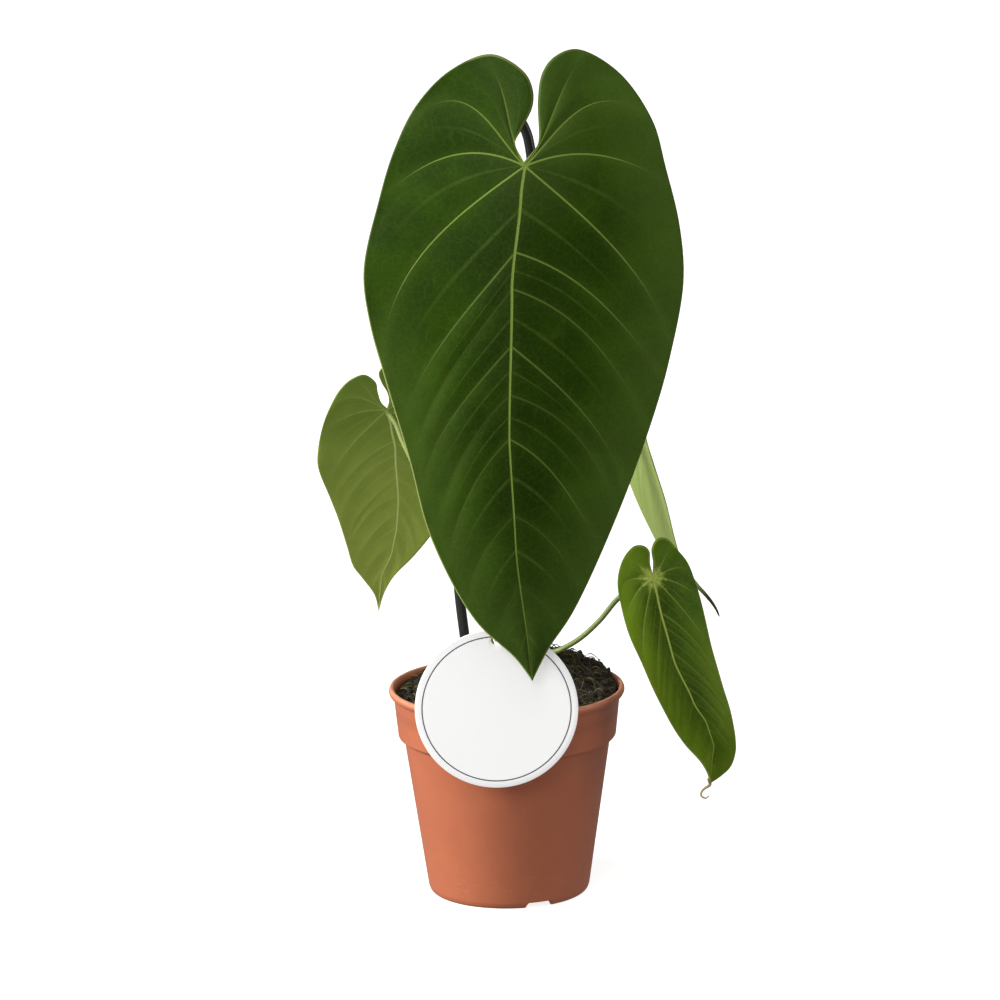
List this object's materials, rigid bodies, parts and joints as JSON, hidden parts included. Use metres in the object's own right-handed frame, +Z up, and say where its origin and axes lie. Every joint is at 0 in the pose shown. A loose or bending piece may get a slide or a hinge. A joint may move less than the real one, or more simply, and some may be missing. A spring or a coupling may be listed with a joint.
{
  "type": "potted foliage plant",
  "caption": "Upright aroid house plant with a long hanging heart-shaped leaf and smaller leaves, held by a wire hoop in a round nursery pot with a blank hang label.",
  "frame": {"origin": "middle of the pot's underside, on the surface it stands on", "axes": "+Z up along the pot's axis, front of the plant and of the label towards -Y, +X to the viewer's right"},
  "size_m": [0.211, 0.1552, 0.4362],
  "materials": {
    "pot_plastic": "terracotta-coloured injection-moulded plastic with a satin sheen",
    "growing_mix": "moist dark brown peat and bark mix with moss strands, matte",
    "crown_stem": "short fibrous stem with dry sheaths, matte",
    "hoop_wire": "black plastic-coated wire, soft gloss",
    "label_board": "white card-like plastic, matte, with one thin grey ring line",
    "tie_wire": "thin green coated wire, matte",
    "leaf_upper": "dark green leaf face with pale raised veins, satin gloss",
    "leaf_under": "leaf whose paler olive underside faces the camera, matte to satin",
    "leaf_stalk": "round green leaf stalk, satin"
  },
  "bodies": {
    "root": {"pot": "pot_plastic", "soil": "growing_mix", "crown": "crown_stem", "support_hoop": "hoop_wire", "label_disc": "label_board", "label_tie": "tie_wire", "front_leaf_blade": "leaf_upper", "front_leaf_petiole": "leaf_stalk", "left_leaf_blade": "leaf_under", "left_leaf_petiole": "leaf_stalk", "back_leaf_blade": "leaf_under", "back_leaf_petiole": "leaf_stalk", "right_leaf_blade": "leaf_upper", "right_leaf_petiole": "leaf_stalk"}
  },
  "joints": []
}
